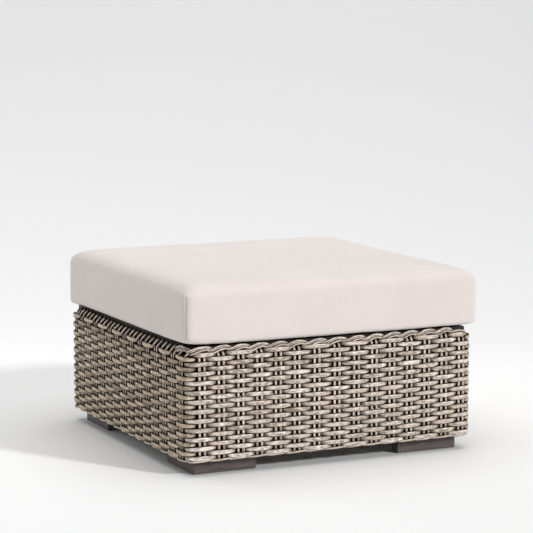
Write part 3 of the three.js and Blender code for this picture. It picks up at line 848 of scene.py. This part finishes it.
cushion = dict(
    half=0.3762, low=0.2966, high=0.4235, crown=0.0085, sideOut=0.0015, sideLift=0.0005,
    shift=(0.0015, -0.001), firmCorner=0.6, powers=dict(side=6, end=4, crown=7, rim=10, corner=8),
    cornerLifts={(-1, -1): 0.0105, (-1, 1): -0.006, (1, -1): 0.003, (1, 1): 0.004},
    # height from -1 to 1, radius in plan and radius in height
    rounds=[
        (-1, 0.012, 0.008), (-0.6, 0.016, 0.014), (0, 0.017, 0.020), (0.55, 0.021, 0.022), (1, 0.032, 0.024),
    ],
    cuts=40, voxel=0.008, frames=20, cap=0.005,
    seamCuts=(-1, -0.45, 0, 0.45, 1), seamCutsFrom=0.3, seamFrom=0.33, seamTop=0.412, seamFade=0.006,
    seamDepth=0.0022, seamReach=0.0045, seamPower=1.5,
    zipHalf=0.26, zipHeight=0.3617, zipMouth=0.008, zipFloor=0.3635, zipCut=0.05,
    cloth=dict(
        quality=5, mass=0.3, tension_stiffness=15, compression_stiffness=15, shear_stiffness=5,
        bending_stiffness=2, use_pressure=True, uniform_pressure_force=5.0,
    ),
)


# radii in plan and in height, larger towards the top
def edgeRounds(up):
    for (low, planA, tallA), (high, planB, tallB) in zip(cushion["rounds"], cushion["rounds"][1:]):
        if up <= high:
            t = (up - low) / (high - low)
            return mixValues(planA, planB, t), mixValues(tallA, tallB, t)
    return cushion["rounds"][-1][1:]


def cushionBlank():
    bm = bmesh.new()
    bmesh.ops.create_cube(bm, size=2)
    bmesh.ops.subdivide_edges(bm, edges=bm.edges, cuts=cushion["cuts"], use_grid_fill=True)
    half, tall = cushion["half"], (cushion["high"] - cushion["low"]) / 2
    middle = (cushion["high"] + cushion["low"]) / 2
    powers, crown = cushion["powers"], cushion["crown"]
    for vert in bm.verts:
        firm = mixValues(1, cushion["firmCorner"], max(0, vert.co.x) * max(0, -vert.co.y))
        planRound, tallRound = (value * firm for value in edgeRounds(vert.co.z))
        rounds, reach = (planRound, planRound, tallRound), (half, half, tall)
        point = [math.sin(share * math.pi / 2) * size for share, size in zip(vert.co, reach)]
        core = [max(-size + r, min(size - r, value)) for value, size, r in zip(point, reach, rounds)]
        away = Vector([(value - inner) / r for value, inner, r in zip(point, core, rounds)]).normalized()
        point = Vector([inner + part * r for inner, part, r in zip(core, away, rounds)])
        across, along, up = abs(point.x) / half, abs(point.y) / half, point.z / tall
        belly = cushion["sideOut"] * (1 - up * up)
        point.x += math.copysign(across ** powers["side"] * belly * (1 - along ** powers["end"]), point.x)
        point.y += math.copysign(along ** powers["side"] * belly * (1 - across ** powers["end"]), point.y)
        if up > 0:
            point.z += up * crown * (1 - across ** powers["crown"]) * (1 - along ** powers["crown"])
        else:
            rim = max(across, along) ** powers["rim"]
            corner = cushion["cornerLifts"][1 if point.x > 0 else -1, 1 if point.y > 0 else -1]
            point.z -= up * (corner * (across * along) ** powers["corner"] + cushion["sideLift"] * rim)
        point += Vector((*cushion["shift"], middle))
        vert.co = point
    return objectFromBmesh("cushion", bm)


# the upright seam of each corner, sunk between rows of cuts
def sinkSeams(pad):
    bm = bmesh.new()
    bm.from_mesh(pad.data)
    for way in (1, -1):
        across = Vector((1, way, 0)).normalized()
        for shift in cushion["seamCuts"]:
            corners = [v for v in bm.verts if min(abs(v.co.x), abs(v.co.y)) > cushion["seamCutsFrom"]]
            faces = {face for vert in corners for face in vert.link_faces}
            edges = {edge for face in faces for edge in face.edges}
            place = across * shift * cushion["seamReach"]
            pieces = [*corners, *edges, *faces]
            bmesh.ops.bisect_plane(bm, geom=pieces, dist=1e-6, plane_co=place, plane_no=(1, way, 0))
    for vert in bm.verts:
        across, along = abs(vert.co.x), abs(vert.co.y)
        if min(across, along) < cushion["seamFrom"]:
            continue
        near = max(0, 1 - abs(across - along) / math.sqrt(2) / cushion["seamReach"])
        tall = min(1, max(0, (cushion["seamTop"] - vert.co.z) / cushion["seamFade"]))
        sink = cushion["seamDepth"] * near ** cushion["seamPower"] * tall / math.sqrt(2)
        vert.co.x -= math.copysign(sink, vert.co.x)
        vert.co.y -= math.copysign(sink, vert.co.y)
    bm.to_mesh(pad.data)
    bm.free()


def swellCushion(pad):
    remesh = pad.modifiers.new("remesh", "REMESH")
    remesh.mode = "VOXEL"
    remesh.voxel_size = cushion["voxel"]
    remesh.use_smooth_shade = True
    applyModifiers(pad)
    start = np.zeros(len(pad.data.vertices) * 3, np.float32)
    pad.data.vertices.foreach_get("co", start)
    cloth = pad.modifiers.new("cloth", "CLOTH")
    for name, value in cushion["cloth"].items():
        setattr(cloth.settings, name, value)
    cloth.settings.effector_weights.gravity = 0
    cloth.point_cache.frame_start = 1
    cloth.point_cache.frame_end = cushion["frames"]
    for step in range(1, cushion["frames"] + 1):
        bpy.context.scene.frame_set(step)
    applyModifiers(pad)
    bpy.context.scene.frame_set(1)
    ended = np.zeros(len(start), np.float32)
    pad.data.vertices.foreach_get("co", ended)
    move = (ended - start).reshape(-1, 3)
    length = np.linalg.norm(move, axis=1, keepdims=True)
    move *= np.minimum(1, cushion["cap"] / np.maximum(length, 1e-9))
    print("cloth moved up to %.1f mm" % (length.max() / mm))
    pad.data.vertices.foreach_set("co", (start.reshape(-1, 3) + move).ravel())


def cutZipSlit(pad):
    bm = bmesh.new()
    bmesh.ops.create_cube(bm, size=1)
    deep = cushion["zipCut"]
    middle = (0, cushion["zipFloor"] + deep / 2, cushion["zipHeight"])
    bmesh.ops.scale(bm, verts=bm.verts, vec=(2 * cushion["zipHalf"], deep, cushion["zipMouth"]))
    bmesh.ops.translate(bm, verts=bm.verts, vec=middle)
    cutter = objectFromBmesh("zipCutter", bm)
    cut = pad.modifiers.new("zipSlit", "BOOLEAN")
    cut.object = cutter
    cut.operation = "DIFFERENCE"
    cut.solver = "EXACT"
    applyModifiers(pad)
    bpy.data.objects.remove(cutter)


def unwrapBoxwise(pad, name):
    bm = bmesh.new()
    bm.from_mesh(pad.data)
    layer = bm.loops.layers.uv.new(name)
    for face in bm.faces:
        face.smooth = True
        size = [abs(value) for value in face.normal]
        facing = size.index(max(size))
        axes = [(1, 2), (0, 2), (0, 1)][facing]
        for loop in face.loops:
            loop[layer].uv = (loop.vert.co[axes[0]], loop.vert.co[axes[1]])
    bm.to_mesh(pad.data)
    bm.free()


# cushion fabric: threads, thicker ones among them and faint clouds

fabricLook = dict(
    colour=(0.765, 0.703, 0.67), shade=(0.69, 0.628, 0.595), rough=0.9, shine=0.2, sheen=0.15, sheenRough=0.5,
    threads=1100.0, threadTone=(0.0, 1.0, 0.35, 1.0), bump=dict(strength=0.35, distance=0.0003),
    slub=dict(Fine=1400.0, Stretch=0.05), slubTone=(0.3, 0.7, 0.96, 1.03),
    cloud=dict(scale=9.0, detail=3.0, roughness=0.55), cloudTone=(0.25, 0.75, 0.965, 1.02),
)


def makeFabricMaterial():
    material, tree, shader = newMaterial("cushionFabric", {
        "Roughness": fabricLook["rough"], "Specular IOR Level": fabricLook["shine"],
        "Sheen Weight": fabricLook["sheen"], "Sheen Roughness": fabricLook["sheenRough"],
    })
    uv = addNode(tree, "ShaderNodeUVMap", uv_map="cloth")
    place = addNode(tree, "ShaderNodeTexCoord")
    threads = placeGroup(tree, weaveGroup, Threads=fabricLook["threads"])
    slub = placeGroup(tree, streakGroup, **fabricLook["slub"])
    cloud = addNoise(tree, **fabricLook["cloud"])
    tone = addRange(tree, *fabricLook["threadTone"])
    wander = addRange(tree, *fabricLook["cloudTone"])
    soft = addRange(tree, *fabricLook["slubTone"])
    blend = addColourMix(tree, fabricLook["shade"], fabricLook["colour"])
    product = addMath(tree, "MULTIPLY")
    shade = addVector(tree, "SCALE")
    bump = addBump(tree, **fabricLook["bump"])
    joinNodes(
        tree,
        (uv, "UV", threads, "Vector"), (uv, "UV", slub, "Vector"), (place, "Object", cloud, "Vector"),
        (threads, "Height", tone, "Value"), (slub, "Value", soft, "Value"), (cloud, "Fac", wander, "Value"),
        (tone, "Result", blend, 0), (wander, "Result", product, 0), (soft, "Result", product, 1),
        (blend, 2, shade, 0), (product, 0, shade, "Scale"), (shade, 0, shader, "Base Color"),
        (threads, "Height", bump, "Height"), (bump, "Normal", shader, "Normal"),
    )
    return material


def addCushion():
    pad = cushionBlank()
    swellCushion(pad)
    soften = pad.modifiers.new("soften", "SUBSURF")
    soften.levels = 1
    soften.render_levels = 1
    applyModifiers(pad)
    sinkSeams(pad)
    cutZipSlit(pad)
    unwrapBoxwise(pad, "cloth")
    pad.data.materials.append(makeFabricMaterial())
    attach(pad, "cushion")
    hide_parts("cushion_cover", "cushion_core")
    spans = [value / mm for corner in (pad.bound_box[0], pad.bound_box[6]) for value in corner]
    faces = len(pad.data.polygons)
    print("cushion made, %d faces, from %.1f %.1f %.1f to %.1f %.1f %.1f mm" % (faces, *spans))


# plain parts: two colours in fine streaks, and webbing; the feet get painted shade towards their tops, under
# the wicker

streakLook = dict(
    spread=(0.3, 0.7), smoother=0.08, rougher=0.1, bump=dict(strength=0.15, distance=0.0003),
)
finishes = dict(
    footResin=dict(
        dark=(0.056, 0.041, 0.040), light=(0.150, 0.118, 0.114), rough=0.42, metallic=0.0,
        fine=300.0, stretch=0.05, topShade=(0.012, 0.03, 1.0, 0.4),
    ),
    frameTube=dict(
        dark=(0.007, 0.006, 0.005), light=(0.013, 0.011, 0.009), rough=0.55, metallic=0.0,
        fine=700.0, stretch=0.6,
    ),
    screwSteel=dict(
        dark=(0.42, 0.42, 0.41), light=(0.62, 0.62, 0.60), rough=0.3, metallic=1.0, fine=2500.0, stretch=0.2,
    ),
    zipTape=dict(
        dark=(0.60, 0.55, 0.50), light=(0.74, 0.69, 0.64), rough=0.85, metallic=0.0, fine=2200.0, stretch=0.1,
    ),
    zipCoil=dict(
        dark=(0.50, 0.46, 0.42), light=(0.68, 0.63, 0.58), rough=0.4, metallic=0.0, fine=1800.0, stretch=0.5,
    ),
    zipMetal=dict(
        dark=(0.33, 0.31, 0.29), light=(0.55, 0.53, 0.50), rough=0.32, metallic=1.0, fine=1500.0, stretch=0.1,
    ),
)
webbingLook = dict(
    dark=(0.018, 0.015, 0.013), light=(0.075, 0.062, 0.052), rough=0.75, threads=500.0,
    cloud=dict(scale=60.0, detail=3.0, roughness=0.5), bump=dict(strength=0.5, distance=0.0005),
)
# the first word found in a node's name picks its finish
paintedWords = dict(
    foot_screw="screwSteel", foot_="footResin", rail="frameTube", post="frameTube", deck_bar="frameTube",
    deck_strap="deckWebbing", zip_tape="zipTape", zip_coil="zipCoil", zip_slider="zipMetal",
    zip_pull="zipMetal",
)


def makeStreakedMaterial(name):
    look = finishes[name]
    material, tree, shader = newMaterial(name, {"Metallic": look["metallic"]})
    place = addNode(tree, "ShaderNodeTexCoord")
    streaks = placeGroup(tree, streakGroup, Fine=look["fine"], Stretch=look["stretch"])
    spread = addRange(tree, *streakLook["spread"])
    mix = addColourMix(tree, look["dark"], look["light"])
    smooth, rough = look["rough"] - streakLook["smoother"], look["rough"] + streakLook["rougher"]
    roughness = addRange(tree, start=smooth, end=rough)
    relief = addBump(tree, **streakLook["bump"])
    joinNodes(
        tree,
        (place, "Object", streaks, "Vector"), (streaks, "Value", spread, "Value"), (spread, "Result", mix, 0),
        (streaks, "Value", roughness, "Value"), (roughness, "Result", shader, "Roughness"),
        (streaks, "Value", relief, "Height"), (relief, "Normal", shader, "Normal"),
    )
    if "topShade" not in look:
        joinNodes(tree, (mix, 2, shader, "Base Color"))
        return material
    # painted shade: darker towards the top, where the wicker above shades the foot
    parts = addNode(tree, "ShaderNodeSeparateXYZ")
    rise = addRange(tree, *look["topShade"])
    shade = addVector(tree, "SCALE")
    joinNodes(
        tree,
        (place, "Object", parts, 0), (parts, "Z", rise, "Value"), (mix, 2, shade, 0),
        (rise, "Result", shade, "Scale"), (shade, 0, shader, "Base Color"),
    )
    return material


def makeWebbingMaterial():
    material, tree, shader = newMaterial("deckWebbing", {"Roughness": webbingLook["rough"]})
    place = addNode(tree, "ShaderNodeTexCoord")
    threads = placeGroup(tree, weaveGroup, Threads=webbingLook["threads"])
    cloud = addNoise(tree, **webbingLook["cloud"])
    mix = addColourMix(tree, webbingLook["dark"], webbingLook["light"])
    blend = addMath(tree, "MULTIPLY")
    bump = addBump(tree, **webbingLook["bump"])
    joinNodes(
        tree,
        (place, "Object", threads, "Vector"), (place, "Object", cloud, "Vector"),
        (threads, "Height", blend, 0), (cloud, "Fac", blend, 1), (blend, 0, mix, 0),
        (mix, 2, shader, "Base Color"), (threads, "Height", bump, "Height"),
        (bump, "Normal", shader, "Normal"),
    )
    return material


def finishPlainParts():
    materials = {name: makeStreakedMaterial(name) for name in finishes}
    materials["deckWebbing"] = makeWebbingMaterial()
    for name in nodes:
        words = [word for word in paintedWords if word in name]
        if words:
            nodes[name].data.materials.clear()
            nodes[name].data.materials.append(materials[paintedWords[words[0]]])
    print("plain parts finished")


bpy.context.scene.view_settings.view_transform = "Standard"
addCamera()
addLights()
addFloor()
print("camera, light and floor set")
addWovenSides([makeWickerMaterial("wickerWeaver"), makeWickerMaterial("wickerWeaverShaded")])
chance = random.Random(stake["seed"])
borderWicker = makeWickerMaterial("wickerBorder")
addStakes(makeWickerMaterial("wickerStake"), chance)
addBorder(borderWicker, chance)
addEdging(borderWicker)
addCushion()
finishPlainParts()
